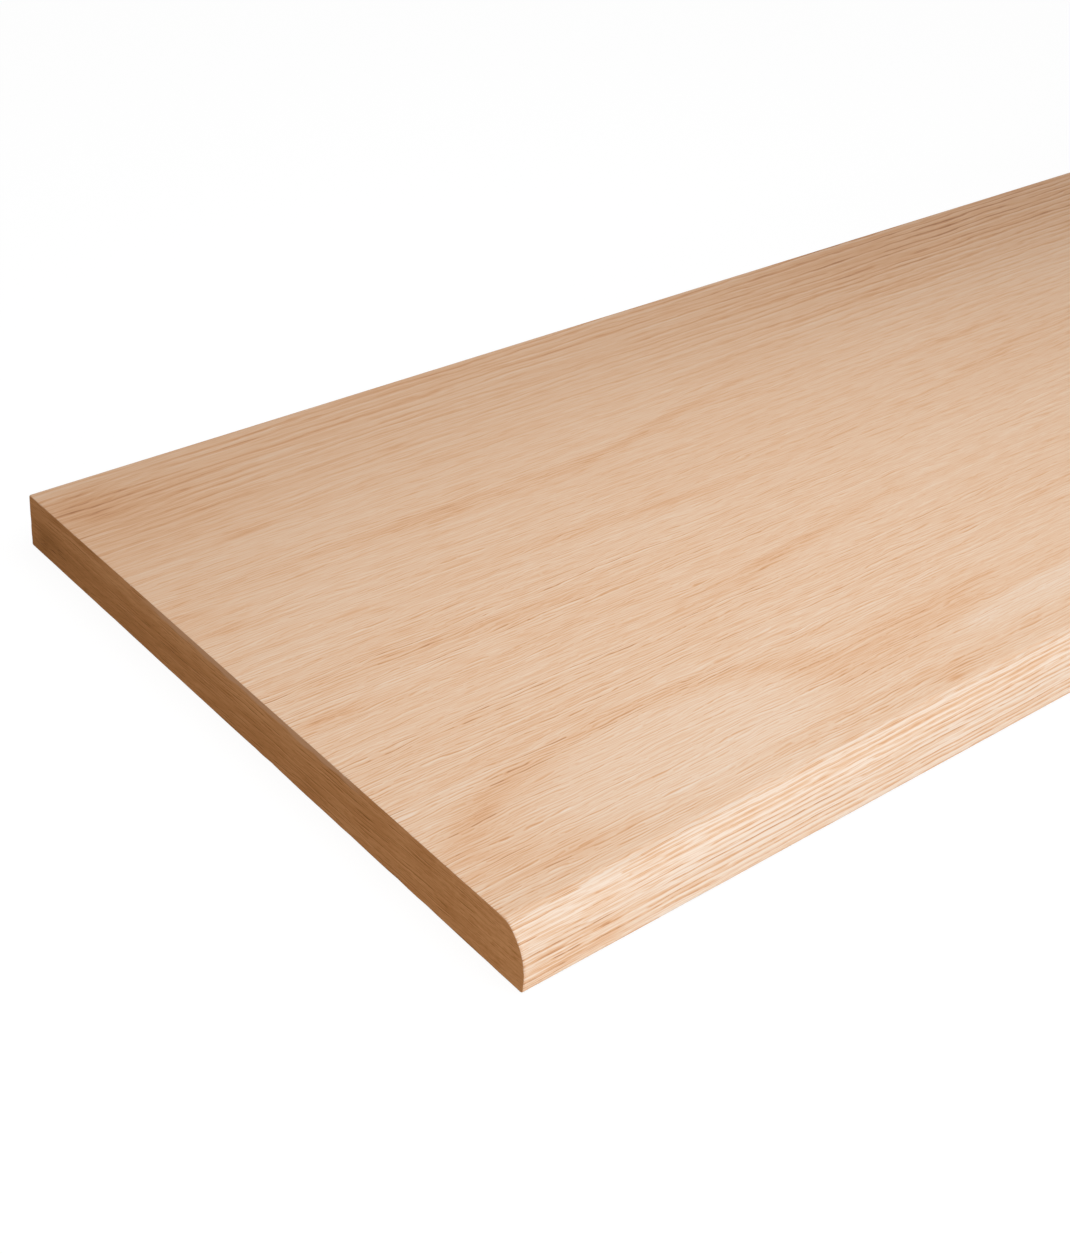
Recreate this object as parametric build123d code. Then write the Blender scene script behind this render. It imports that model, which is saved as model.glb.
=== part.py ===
from build123d import *
import os

# A plain oak stair tread: one board, with a bowed and rounded nose along its front.
#
# Millimetres. The board lies on its underside. X runs along its length, -Y is the nose, and +Z is up.
# The origin is on the underside, below the middle of the board.

# The board, planed and cut to length
tread_length = 914.4
tread_depth = 292.1
tread_thickness = 22.2

# The nose, from the underside up: an eased foot, a plumb band, a bowed front and a rounded shoulder.
# The setback is how far the bow has leaned back where it meets the top of the board.
nose_foot_radius = 1.2
nose_foot_height = 5.0
nose_setback = 10.0
nose_shoulder_radius = 6.0

# The sanded arrises: the two long ones at the square back, and the ones round each sawn end
back_arris_radius = 0.8
end_arris_radius = 0.4

nose_y = -tread_depth / 2
back_y = tread_depth / 2


def bow_radius():
    """The radius of an arc that starts plumb at the top of the foot and reaches the setback."""
    rise = tread_thickness - nose_foot_height
    return (nose_setback**2 + rise**2) / (2 * nose_setback)


def bowed_section():
    """The cross-section in the Y-Z plane, with the bowed front cut and every corner still sharp."""
    foot_top = (nose_y, nose_foot_height)
    bow_top = (nose_y + nose_setback, tread_thickness)
    with BuildSketch(Plane.YZ) as section:
        with BuildLine():
            Line((nose_y, 0), foot_top)
            RadiusArc(foot_top, bow_top, bow_radius())
            Polyline(bow_top, (back_y, tread_thickness), (back_y, 0), (nose_y, 0))
        make_face()
    return section.sketch


def rounded_section():
    """The finished cross-section: the shoulder, the foot and both back arrises rounded."""
    section = bowed_section()
    corners = [
        (nose_y + nose_setback, tread_thickness, nose_shoulder_radius),
        (nose_y, 0, nose_foot_radius),
        (back_y, tread_thickness, back_arris_radius),
        (back_y, 0, back_arris_radius),
    ]
    for y, z, radius in corners:
        corner = section.vertices().sort_by_distance((0, y, z))[0]
        section = fillet(corner, radius)
    return section


def stair_tread():
    """The section run along the board's length, with the arrises of both sawn ends eased.

    An end arris turns round the small corners of the section, so it stays smaller than they are.
    """
    board = extrude(rounded_section(), amount=tread_length / 2, both=True)
    faces_along_length = board.faces().sort_by(Axis.X)
    sawn_ends = (faces_along_length[0], faces_along_length[-1])
    tightest_corner = min(back_arris_radius, nose_foot_radius, nose_shoulder_radius)
    share_of_corner = 0.8
    radius = min(end_arris_radius, share_of_corner * tightest_corner)
    for sawn_end in sawn_ends:
        board = fillet_end(board, sawn_end, radius)
    return board


def fillet_end(board, sawn_end, radius):
    """The board with the arris all round one sawn end eased."""
    end_x = sawn_end.center().X
    nearness = 0.001
    arris = board.edges().filter_by_position(Axis.X, end_x - nearness, end_x + nearness)
    return fillet(arris, radius)


tread = stair_tread()
size = tread.bounding_box().size
print(f"tread {size.X:.1f} x {size.Y:.1f} x {size.Z:.1f}, bow radius {bow_radius():.2f}")

os.makedirs("parts", exist_ok=True)
export_step(tread, "parts/tread.step")
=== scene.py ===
# %% [markdown]
# # A plain oak stair tread
#
# The object is one solid board. Its top is flat, its front edge is a nose that bows out and rounds over,
# its back edge is square, and both ends are sawn square across the grain. It has no finish on it: the wood
# is planed, sanded and bare.
#
# The shape is simple, so almost everything that makes it look like oak is the grain. The plan is to describe
# once how the tree's growth rings lie inside the board, and then to let every surface cut through that one
# description. The flat top then shows wide, wandering figure, the nose shows tight lines, and both belong
# to each other as they do in a real plank.

# %% [markdown]
# ## The frame
#
# The board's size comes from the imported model, which is loaded first and never moved. Everything below is in
# metres, in the model's own frame: X along the board, the nose at -Y, Z up, the underside at zero.

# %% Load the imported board
import math
import random
from collections import namedtuple

import bmesh
import bpy
import numpy as np
from mathutils import Matrix, Vector


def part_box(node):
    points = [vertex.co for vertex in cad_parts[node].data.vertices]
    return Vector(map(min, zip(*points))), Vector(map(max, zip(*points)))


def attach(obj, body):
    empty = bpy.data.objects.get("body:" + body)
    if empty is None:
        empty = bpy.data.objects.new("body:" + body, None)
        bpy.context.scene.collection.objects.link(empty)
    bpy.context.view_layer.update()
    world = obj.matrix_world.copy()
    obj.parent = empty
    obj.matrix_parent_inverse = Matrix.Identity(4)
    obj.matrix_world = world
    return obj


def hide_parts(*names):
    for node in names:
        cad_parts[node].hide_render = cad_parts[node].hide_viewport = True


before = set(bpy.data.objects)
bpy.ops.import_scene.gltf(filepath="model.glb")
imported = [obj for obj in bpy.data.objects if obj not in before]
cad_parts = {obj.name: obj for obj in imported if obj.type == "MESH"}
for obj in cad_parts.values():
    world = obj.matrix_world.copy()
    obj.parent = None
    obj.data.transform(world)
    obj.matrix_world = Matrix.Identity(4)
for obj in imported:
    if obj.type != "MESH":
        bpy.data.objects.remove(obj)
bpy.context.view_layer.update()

low_corner, high_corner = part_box("tread")
length, depth, thickness = high_corner - low_corner
MM = 0.001
print(f"board {length / MM:.1f} x {depth / MM:.1f} x {thickness / MM:.1f} mm")

# %% [markdown]
# ## Measuring from a corner
#
# A joiner measures a board from its end and its front edge, so the grain is described the same way: in
# millimetres from the left end, from the nose and from the underside. A place in the wood is three such
# numbers, whether a mesh point asks for it or a shader does.

# %% Millimetres from the left end, the nose and the underside
nose_front = low_corner[1]


def from_corner(points):
    """Places in the frame, in metres, as millimetres from the board's left front bottom corner."""
    return (np.asarray(points) - np.array(low_corner)) / MM


# %% [markdown]
# ## How the growth rings lie
#
# This board was sawn from the side of the log. Its rings run the whole length of the board and arch over a
# line a little way in from the nose. Near that line the top face only grazes them, and shows wide figure.
# Towards the back it cuts them at a steeper slant, which soon stays the same, so the lines come closer and
# then run side by side. At the nose they turn down sharply, so the bowed front is cut square across them all
# the way up to its shoulder, and shows their real width.
#
# A tree isn't a lathe-turned cone: the rings rise and dip along the trunk. A few long waves give that drift,
# and a short list of swells bends the lines where the photograph shows them bent.

# %% The arch, the waves and the swells
arch_over = 40.0
arch_slant = 0.42
arch_softness = 20.0
ring_width = 2.3
nose_turn = 0.8
nose_turn_starts = 14.0
nose_turn_softness = 2.0

# Each wave: its length along the board and across it, its height, and where it starts
grain_waves = [
    (830.0, 560.0, 1.90, 0.9),
    (410.0, -300.0, 0.70, 2.1),
    (230.0, 170.0, 0.35, 4.4),
    (127.0, -96.0, 0.14, 1.3),
]

# Each swell: its place from the left end and the nose, how far it reaches along and across, and its height
grain_swells = [
    (104.0, 62.0, 96.0, 42.0, -2.2),
    (225.0, 152.0, 125.0, 46.0, 4.6),
    (6.0, 272.0, 26.0, 16.0, 3.4),
    (30.0, 186.0, 46.0, 20.0, -1.6),
    (330.0, 236.0, 150.0, 36.0, -2.4),
    (560.0, 150.0, 120.0, 60.0, -3.0),
    (700.0, 80.0, 130.0, 40.0, -2.6),
    (840.0, 210.0, 80.0, 50.0, 3.0),
]


def ring_depth(places):
    """How far out from the heart of the tree each place lies, in millimetres, past an arbitrary ring."""
    along, across, up = places[..., 0], places[..., 1], places[..., 2]
    off_arch = np.hypot(across - arch_over, arch_softness) - arch_softness
    past_turn = across - nose_turn_starts
    before_turn = (past_turn - np.hypot(past_turn, nose_turn_softness)) / 2
    total = up + arch_slant * off_arch + nose_turn * before_turn
    for wave_along, wave_across, height, start in grain_waves:
        turn = 2 * math.pi * (along / wave_along + across / wave_across) + start
        total = total + height * np.sin(turn)
    for at_along, at_across, reach_along, reach_across, height in grain_swells:
        away = ((along - at_along) / reach_along) ** 2 + ((across - at_across) / reach_across) ** 2
        total = total + height * np.exp(-away)
    return total


eye_place = (104.0, 40.0, thickness / MM)
back_place = (104.0, 290.0, thickness / MM)
print("ring depth at the eye and at the back", ring_depth(np.array([eye_place, back_place])).round(2))

# %% [markdown]
# Good years make wide rings and dry years narrow ones. Adding a little of a sine to a straight count of rings
# stretches some and squeezes others, and the count never runs backwards as long as the sine is gentle.

# %% Counting rings that aren't all as wide
# Each sine: how quickly it turns with depth, how much it adds to the count, and where it starts
uneven_years = [(0.71, 0.30, 0.4), (0.293, 0.42, 2.0)]
first_ring = 0.35


def ring_count(depths):
    """The number of the ring at each depth. Its fraction says how far through the year's growth."""
    count = depths / ring_width + first_ring
    for quickness, amount, start in uneven_years:
        count = count + amount * np.sin(quickness * depths + start)
    return count


# %% [markdown]
# ## The outline of the section
#
# The nose is a compound curve: a small eased foot, a short plumb band, a bowed front of large radius, and a
# tighter shoulder that rolls it into the top. Each is an arc that starts in the direction in which the last
# one ended. The outline could be drawn by hand as a list of points, but arcs need only their radii, and their
# outward directions come for free, which the sanded ends and the raised grain need later.

# %% Sizes of the nose and the arrises
nose_foot_radius = 1.2 * MM
nose_foot_height = 5.0 * MM
nose_setback = 10.0 * MM
nose_shoulder_radius = 6.0 * MM
back_arris_radius = 0.8 * MM

bow_rise = thickness - nose_foot_height
bow_radius = (nose_setback**2 + bow_rise**2) / (2 * nose_setback)
bow_centre = Vector((nose_front + bow_radius, nose_foot_height))

shoulder_height = thickness - nose_shoulder_radius
shoulder_reach = bow_radius - nose_shoulder_radius
shoulder_back = math.sqrt(shoulder_reach**2 - (shoulder_height - nose_foot_height) ** 2)
shoulder_centre = Vector((bow_centre.x - shoulder_back, shoulder_height))
shoulder_angle = math.atan2(shoulder_centre.y - bow_centre.y, shoulder_centre.x - bow_centre.x)
print(f"bow radius {bow_radius / MM:.2f} mm, shoulder starts at {math.degrees(shoulder_angle):.1f} degrees")

# %% Arcs and straights as points with an outward direction
outline = []


def add_arc(centre, radius, start, end, step):
    """Points along an arc of the section, with the direction that faces out of the wood at each."""
    pieces = max(2, round(abs(end - start) * radius / step))
    for number in range(pieces):
        angle = start + (end - start) * number / pieces
        outward = Vector((math.cos(angle), math.sin(angle)))
        outline.append((Vector(centre) + radius * outward, outward))


def add_straight(start, end, outward, step):
    """Points along a straight of the section, leaving the last one to whatever comes next."""
    start, end = Vector(start), Vector(end)
    pieces = max(1, round((end - start).length / step))
    for number in range(pieces):
        outline.append((start.lerp(end, number / pieces), Vector(outward)))


# %% Walk round the section: underside, foot, plumb band, bow, shoulder, top, back edge
back_face = nose_front + depth
back_flat = back_face - back_arris_radius
back_top = thickness - back_arris_radius
foot_flat = nose_front + nose_foot_radius
right_angle = math.pi / 2

# How far apart the points lie: closest where the section turns, and close on the nose, which shows its wear
underside_step = 5.0 * MM
foot_step = 0.3 * MM
plumb_step = 0.5 * MM
bow_step = 0.45 * MM
shoulder_step = 0.4 * MM
top_step = 1.0 * MM
back_step = 0.9 * MM
back_arris_step = 0.25 * MM

add_straight((back_flat, 0), (foot_flat, 0), (0, -1), underside_step)
add_arc((foot_flat, nose_foot_radius), nose_foot_radius, -right_angle, -math.pi, foot_step)
add_straight((nose_front, nose_foot_radius), (nose_front, nose_foot_height), (-1, 0), plumb_step)
add_arc(bow_centre, bow_radius, math.pi, shoulder_angle, bow_step)
add_arc(shoulder_centre, nose_shoulder_radius, shoulder_angle, right_angle, shoulder_step)
add_straight((shoulder_centre.x, thickness), (back_flat, thickness), (0, 1), top_step)
add_arc((back_flat, back_top), back_arris_radius, right_angle, 0, back_arris_step)
add_straight((back_face, back_top), (back_face, back_arris_radius), (1, 0), back_step)
add_arc((back_flat, back_arris_radius), back_arris_radius, 0, -right_angle, back_arris_step)

outline_points = np.array([point for point, outward in outline])
outline_outward = np.array([outward for point, outward in outline])
print("points round the section", len(outline))

# %% [markdown]
# ## Sawn ends with a nibbled arris
#
# The sharp corner left by the saw was knocked off by hand with sandpaper. Such an arris is never even: it
# wanders in width, and oak splinters a little where the saw left the cut. A bevel modifier would round every
# corner alike, so the arris is made here as a few rings of points whose radius changes round the section.

# %% The width of the arris round one end
arris_width = 0.25 * MM
arris_wander = 0.035 * MM
narrowest_arris = 0.12 * MM
widest_arris = 0.6 * nose_foot_radius

# How often each wave of the wander turns on its way round, and where it may start, in radians
wander_turns = (3, 7, 13, 29)
any_start = (0, 6.28)

# How many chips there are, and the least and the most that each reaches and bites
chip_count = 46
chip_reach_mm = (0.6, 2.2)
chip_bite_mm = (0.08, 0.36)

steps = np.linalg.norm(np.roll(outline_points, -1, axis=0) - outline_points, axis=1)
unrolled = np.concatenate([[0], np.cumsum(steps)])
girth = unrolled[-1]
print(f"girth of the section {girth / MM:.1f} mm")


def arris_widths(seed):
    """The arris radius at every point round the section: a slow wander, with small splintered chips."""
    dice = random.Random(seed)
    walked = unrolled[:-1]
    widths = np.full(len(walked), arris_width)
    for turns in wander_turns:
        start = dice.uniform(*any_start)
        widths += arris_wander * np.sin(2 * math.pi * turns * walked / girth + start)
    for _ in range(chip_count):
        place = dice.uniform(0, girth)
        reach = dice.uniform(*chip_reach_mm) * MM
        bite = dice.uniform(*chip_bite_mm) * MM
        away = (walked - place + girth / 2) % girth - girth / 2
        widths += bite * np.exp(-((away / reach) ** 2))
    return np.clip(widths, narrowest_arris, widest_arris)


left_arris = arris_widths(seed=11)
right_arris = arris_widths(seed=23)
print(f"left arris from {left_arris.min() / MM:.2f} to {left_arris.max() / MM:.2f} mm")

# %% [markdown]
# ## Raised grain
#
# Sanding wears the soft spring wood of each ring a few hundredths of a millimetre lower than the hard summer
# wood. On the nose the light catches it. A displacement modifier would need a texture, so the points are
# moved here, straight from the ring description: only inwards, so that the board keeps its size.

# %% How far the soft wood is worn
worn_by = 0.035 * MM
spring_wood_share = 0.42


def wear(places):
    """How far in each place is worn: most where a ring begins, fading to none in its hard part."""
    through_year = ring_count(ring_depth(places)) % 1.0
    soft = np.clip(1 - through_year / spring_wood_share, 0, 1)
    return worn_by * soft**2 * (3 - 2 * soft)


# %% Stations along the board
station_step = 7.0 * MM
kept_for_arris = 1.5 * MM
last_station = length / 2 - kept_for_arris
inner_stations = np.linspace(-last_station, last_station, round(2 * last_station / station_step))
rings_per_arris = 5
arris_turns = np.linspace(0, right_angle, rings_per_arris)


def worn_ring(x):
    """The section at one station, worn by its own grain."""
    points = np.column_stack([np.full(len(outline), x), outline_points])
    inward = wear(from_corner(points))[:, None] * outline_outward
    points[:, 1:] -= inward
    return points


def arris_ring(end_x, inwards, widths, turn):
    """One ring of an end's arris. inwards is the way from that end into the board, +1 or -1."""
    inset = widths * (1 - math.sin(turn))
    x = end_x + inwards * widths * (1 - math.cos(turn))
    return np.column_stack([x, outline_points - inset[:, None] * outline_outward])


rings = [arris_ring(-length / 2, 1, left_arris, turn) for turn in arris_turns]
rings += [worn_ring(x) for x in inner_stations]
rings += [arris_ring(length / 2, -1, right_arris, turn) for turn in reversed(arris_turns)]
print("rings along the board", len(rings))

# %% [markdown]
# ## Skin the rings
#
# Four points of two neighbouring rings make a face. The two sawn ends are one flat face each, split into
# triangles, and they get a material slot of their own because end grain looks nothing like face grain.
# The same loop lays out the UV map: the skin unrolled flat, with the two ends in a row above it.

# %% Build the mesh
face_slot, end_slot = 0, 1
ring_size = len(outline)
vertices = np.concatenate(rings)
faces = []
for ring_number in range(len(rings) - 1):
    here, there = ring_number * ring_size, (ring_number + 1) * ring_size
    for point in range(ring_size):
        beside = (point + 1) % ring_size
        faces.append((here + point, there + point, there + beside, here + beside))
left_cap = tuple(range(ring_size))
right_cap = tuple(reversed(range((len(rings) - 1) * ring_size, len(rings) * ring_size)))

board_mesh = bpy.data.meshes.new("oak_board")
board_mesh.from_pydata(vertices.tolist(), [], faces + [left_cap, right_cap])
board = bpy.data.objects.new("oak_board", board_mesh)
bpy.context.scene.collection.objects.link(board)

# %% Unroll the skin for the UV map
margin = 0.01
row_gap = 4.0 * MM
sheet_height = girth + row_gap + thickness
to_u = (1 - 2 * margin) / length
to_v = (1 - 2 * margin) / sheet_height

skin_uv = board_mesh.uv_layers.new(name="OFBake")
uv_values = np.zeros((len(board_mesh.loops), 2))
loop_number = 0
for ring_number in range(len(rings) - 1):
    for point in range(ring_size):
        for ring_step, point_step in ((0, 0), (1, 0), (1, 1), (0, 1)):
            ring_point = (point + point_step) % ring_size
            x = rings[ring_number + ring_step][ring_point][0]
            uv_values[loop_number] = (
                margin + (x + length / 2) * to_u,
                margin + unrolled[point + point_step] * to_v,
            )
            loop_number += 1
for cap, shift in ((left_cap, 0.0), (right_cap, depth + row_gap)):
    for vertex in cap:
        x, y, z = vertices[vertex]
        uv_values[loop_number] = (
            margin + (y - nose_front + shift) * to_u,
            margin + (girth + row_gap + z) * to_v,
        )
        loop_number += 1
skin_uv.data.foreach_set("uv", uv_values.ravel())

# %% Shade it smooth, and split the two ends into triangles
work = bmesh.new()
work.from_mesh(board_mesh)
work.faces.ensure_lookup_table()
for face in work.faces:
    face.smooth = True
    face.material_index = face_slot
caps = list(work.faces)[-2:]
for cap_face in caps:
    cap_face.smooth = False
    cap_face.material_index = end_slot
skin = list(work.faces)[:-2]
for arris_face in skin[:ring_size] + skin[-ring_size:]:
    arris_face.material_index = end_slot
bmesh.ops.recalc_face_normals(work, faces=work.faces)
bmesh.ops.triangulate(work, faces=caps, ngon_method="BEAUTY")
work.to_mesh(board_mesh)
work.free()
triangles = sum(len(face.vertices) - 2 for face in board_mesh.polygons)
print("faces", len(board_mesh.polygons), "triangles", triangles)

# %% [markdown]
# ## A helper for writing shaders as sums
#
# A wood shader is a long sum of small effects. Built in the node editor it is a wide web of Math nodes. In
# code a small class keeps it readable: each call adds a node or a few and hands back what comes out of
# them, so the lines below read like the sum that they are.

# %% Nodes as a written sum


class Finish:
    """One material, with helpers that add nodes and return what comes out of them."""

    def __init__(self, name):
        self.material = bpy.data.materials.new(name)
        self.material.use_nodes = True
        self.tree = self.material.node_tree
        self.tree.nodes.clear()

    def node(self, kind, inputs, **settings):
        """A new node itself. An input that is another node's output is linked, any other is set."""
        node = self.tree.nodes.new("ShaderNode" + kind)
        for name, value in settings.items():
            setattr(node, name, value)
        for socket, value in inputs.items():
            if isinstance(value, bpy.types.NodeSocket):
                self.tree.links.new(value, node.inputs[socket])
            else:
                node.inputs[socket].default_value = value
        return node

    def math(self, operation, *values):
        """One Math node."""
        return self.node("Math", dict(enumerate(values)), operation=operation).outputs[0]

    def add(self, *values):
        """The sum of all values."""
        total = values[0]
        for value in values[1:]:
            total = self.math("ADD", total, value)
        return total

    def times(self, *values):
        """The product of all values."""
        total = values[0]
        for value in values[1:]:
            total = self.math("MULTIPLY", total, value)
        return total

    def weighed(self, weights, effects):
        """The weight for everywhere, plus each effect that weights names times its weight."""
        total = weights.get("everywhere", 0.0)
        for name, weight in weights.items():
            if name != "everywhere":
                total = self.math("MULTIPLY_ADD", effects[name], weight, total)
        return total

    def vector(self, operation, *values):
        """One Vector Math node."""
        node = self.node("VectorMath", dict(enumerate(values)), operation=operation)
        return node.outputs["Value" if operation in ("DOT_PRODUCT", "LENGTH") else "Vector"]

    def fade(self, value, low, high):
        """0 at low, 1 at high, with soft ends."""
        inputs = {"Value": value, "From Min": low, "From Max": high}
        return self.node("MapRange", inputs, interpolation_type="SMOOTHSTEP").outputs[0]

    def noise(self, place, sizes, detail=2.0, roughness=0.5):
        """Noise from -1 to 1, whose blotches are about as big as sizes, in the units of place."""
        scaled = self.vector("DIVIDE", place, sizes)
        inputs = {"Vector": scaled, "Scale": 1.0, "Detail": detail, "Roughness": roughness}
        level = self.node("TexNoise", inputs).outputs[0]
        return self.math("MULTIPLY_ADD", level, 2.0, -1.0)

    def mix(self, share, first, second):
        """The first colour, giving way to the second as share goes from 0 to 1."""
        # The Mix node takes its two colours at sockets 6 and 7, and gives the mixed one at 2
        node = self.node("Mix", {0: share, 6: first, 7: second}, data_type="RGBA")
        return node.outputs[2]

    def ramp(self, value, stops):
        """The colour for a value, between the stops' colours."""
        node = self.node("ValToRGB", {0: value})
        elements = node.color_ramp.elements
        while len(elements) < len(stops):
            elements.new(0.5)
        for element, (position, colour) in zip(elements, stops):
            element.position = position
            element.color = (*colour, 1.0)
        return node.outputs[0]

    def bump(self, height, strength, depth):
        """Shading for relief that is too fine for the mesh."""
        return self.node("Bump", {"Height": height, "Strength": strength, "Distance": depth}).outputs[0]

    def surface(self, colour, roughness, shine, bump):
        """The finished surface, wired to the material's output."""
        inputs = {"Base Color": colour, "Roughness": roughness, "Specular IOR Level": shine, "Normal": bump}
        shader = self.node("BsdfPrincipled", inputs)
        self.node("OutputMaterial", {"Surface": shader.outputs[0]})


# %% [markdown]
# ## The rings, as nodes
#
# The same arch, waves and swells, now as nodes, from the same lists. A shader is asked for every ray that
# hits the wood, so it can add what the mesh is too coarse for: a fine tremble of the ring lines.

# %% Ring depth and ring count inside a shader


def place_in_wood(wood):
    """The shaded place, in millimetres from the left end, the nose and the underside."""
    here = wood.node("TexCoord", {}).outputs["Object"]
    shifted = wood.vector("SUBTRACT", here, tuple(low_corner))
    return wood.vector("DIVIDE", shifted, (MM, MM, MM))


def swell_nodes(wood, place, spot, reach):
    """1 at one spot of the wood, fading to 0 over its reach along and across."""
    narrower = (1 / reach[0], 1 / reach[1], 0.0)
    start = (-spot[0] / reach[0], -spot[1] / reach[1], 0.0)
    away = wood.vector("MULTIPLY_ADD", place, narrower, start)
    return wood.math("EXPONENT", wood.times(wood.vector("DOT_PRODUCT", away, away), -1.0))


def ring_depth_nodes(wood, place):
    """ring_depth() again, for a shader."""
    parts = wood.node("SeparateXYZ", {0: place}).outputs
    off = wood.add(parts[1], -arch_over)
    hypotenuse = wood.math("SQRT", wood.math("MULTIPLY_ADD", off, off, arch_softness**2))
    arch = wood.math("MULTIPLY_ADD", hypotenuse, arch_slant, -arch_slant * arch_softness)
    past_turn = wood.add(parts[1], -nose_turn_starts)
    corner = wood.math("MULTIPLY_ADD", past_turn, past_turn, nose_turn_softness**2)
    before_turn = wood.math("SUBTRACT", past_turn, wood.math("SQRT", corner))
    total = wood.add(parts[2], arch, wood.times(before_turn, nose_turn / 2))
    for wave_along, wave_across, height, start in grain_waves:
        run = (2 * math.pi / wave_along, 2 * math.pi / wave_across, 0.0)
        turn = wood.add(wood.vector("DOT_PRODUCT", place, run), start)
        total = wood.math("MULTIPLY_ADD", wood.math("SINE", turn), height, total)
    for at_along, at_across, reach_along, reach_across, height in grain_swells:
        swell = swell_nodes(wood, place, (at_along, at_across), (reach_along, reach_across))
        total = wood.math("MULTIPLY_ADD", swell, height, total)
    return total


def ring_count_nodes(wood, depths):
    """ring_count() again, for a shader."""
    count = wood.math("MULTIPLY_ADD", depths, 1 / ring_width, first_ring)
    for quickness, amount, start in uneven_years:
        turn = wood.math("MULTIPLY_ADD", depths, quickness, start)
        count = wood.math("MULTIPLY_ADD", wood.math("SINE", turn), amount, count)
    return count


# %% [markdown]
# ## Face grain
#
# Everything but the two ends is face grain. Its tone is one number from 0, the palest summer wood, to 1, the
# darkest pore, and a colour ramp turns that number into oak. Working with one tone keeps the colours in
# family: darker oak is also more orange, and the ramp says so once.
#
# A photograph of oak could be wrapped round the board instead, but its lines would break at the nose and
# repeat along the board. Here the tone is a sum of effects. The next cells make them one at a time and give
# each a name, and a table of weights then says how much of each effect goes into the tone.

# %% Colours of bare sanded oak
oak_ramp = [
    (0.00, (0.900, 0.740, 0.610)),
    (0.30, (0.842, 0.604, 0.428)),
    (0.55, (0.796, 0.500, 0.310)),
    (0.80, (0.700, 0.370, 0.186)),
    (1.00, (0.450, 0.200, 0.085)),
]
print("colours in the oak ramp", len(oak_ramp))

# %% [markdown]
# ## Wandering grain
#
# The fibres of a tree aren't ruled lines. They drift sideways by a millimetre or so, and tremble by less. A
# noise could bend each kind of line by itself, but then the lines would cross one another. So the place is
# pushed sideways first, and whatever is drawn at the pushed place bends together with all the rest.

# %% Push the place sideways
drift_size = (48.0, 7.0, 7.0)
drift_push = 1.4
drift_of_rings = 0.30
tremble_size = (12.0, 2.6, 2.6)
tremble_push = 0.40
tremble_of_rings = 0.14


def flow_of_grain(wood, place):
    """The place pushed sideways by drift and tremble, and how far the rings stray with them."""
    drift = wood.noise(place, drift_size, detail=2.0)
    tremble = wood.noise(place, tremble_size, detail=1.0)
    sideways = wood.math("MULTIPLY_ADD", drift, drift_push, wood.times(tremble, tremble_push))
    push = wood.node("CombineXYZ", {1: sideways, 2: sideways}).outputs[0]
    stray = wood.math("MULTIPLY_ADD", drift, drift_of_rings, wood.times(tremble, tremble_of_rings))
    return wood.vector("ADD", place, push), stray


# %% [markdown]
# ## Areas of the board
#
# The wood isn't alike all over. The nose is paler and has the clearest lines, the strip along the back edge
# is darker and has long lines, and the small marks grow fainter towards the right. Towards the back the
# darkening is partly the wood's own tone and partly painted shade for the light falling off there, and the
# upper nose is dimmed by painted shade. Two or three materials side by side would show their borders, so one
# material changes softly from area to area instead. The shoulder's border also wavers with the strokes of the
# grain, because a straight one looks painted.

# %% Soft masks for the nose, the back and the ends
shoulder_waver = 1.5

# Each border: where its area begins to show and where it shows in full, in millimetres
nose_border = (12.4, 8.6)
nose_rise = (4.0, 14.5)
back_slope = (90.0, 290.0)
back_strip = (190.0, 290.0)
left_stretch = (120.0, 15.0)
left_edge = (8.0, 0.0)
right_stretch = (180.0, 480.0)
faint_stretch = (100.0, 460.0)
arris_border = (1.0, 0.4)
arris_stretch = (22.0, 10.0)

# How much of the marks is lost at the right and at the back
lost_at_right = 0.58
lost_at_back = 0.75


def face_areas(wood, along, across, up, strokes):
    """How much of each area is at the place, from 0 to 1, and how strong the small marks are there."""
    on_nose = wood.fade(wood.math("MULTIPLY_ADD", strokes, shoulder_waver, across), *nose_border)
    not_nose = wood.math("SUBTRACT", 1.0, on_nose)
    far_back = wood.fade(across, *back_slope)
    near_back = wood.fade(across, *back_strip)
    far_along = wood.times(not_nose, wood.fade(along, *right_stretch))
    kept_at_right = wood.math("MULTIPLY_ADD", wood.fade(along, *faint_stretch), -lost_at_right, 1.0)
    kept_at_back = wood.math("MULTIPLY_ADD", far_back, -lost_at_back, 1.0)
    return {
        "on_nose": on_nose,
        "not_nose": not_nose,
        # nose_height is the upper nose and far_corner the back right corner: both serve only the painted shade
        "nose_height": wood.times(on_nose, wood.fade(up, *nose_rise)),
        "nose_arris": wood.times(wood.fade(along, *arris_border), wood.fade(across, *arris_stretch)),
        "far_back": far_back,
        "near_back": near_back,
        "near_left": wood.fade(along, *left_stretch),
        "near_end": wood.fade(along, *left_edge),
        "far_along": far_along,
        "far_corner": wood.times(far_along, near_back),
        "marks_kept": wood.times(kept_at_right, kept_at_back),
    }


# %% [markdown]
# ## Pale eyes
#
# Where the top only grazes the crest of a ring, the ring shows as a long pale eye with a darker rim, and a
# faint pale halo runs round that. The ring description would leave eyes wherever its waves happen to crest.
# The few large ones that one notices are listed one by one, as ellipses along the grain, because their places
# and sizes can then follow the photograph. Inside an eye the grain is calm.

# %% Eyes, rims and halos
# Each eye: its middle from the left end and the nose, and its half length and half width
pale_eyes = [
    ((95.0, 40.0), (77.0, 24.0)),
    ((335.0, 33.0), (125.0, 9.0)),
    ((690.0, 52.0), (110.0, 10.0)),
]

# Each border: where it begins to show and where it shows in full, in half widths from the eye's middle
eye_border = (1.12, 0.62)
rim_inside = (0.84, 1.04)
rim_outside = (1.34, 1.08)
halo_inside = (1.08, 1.24)
halo_outside = (1.50, 1.26)

# The side of the rim away from the nose is the strong one, and the only one with a halo
strong_side = (38.0, 54.0)
weak_rim_share = 0.25
calmed_by = 0.80


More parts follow.
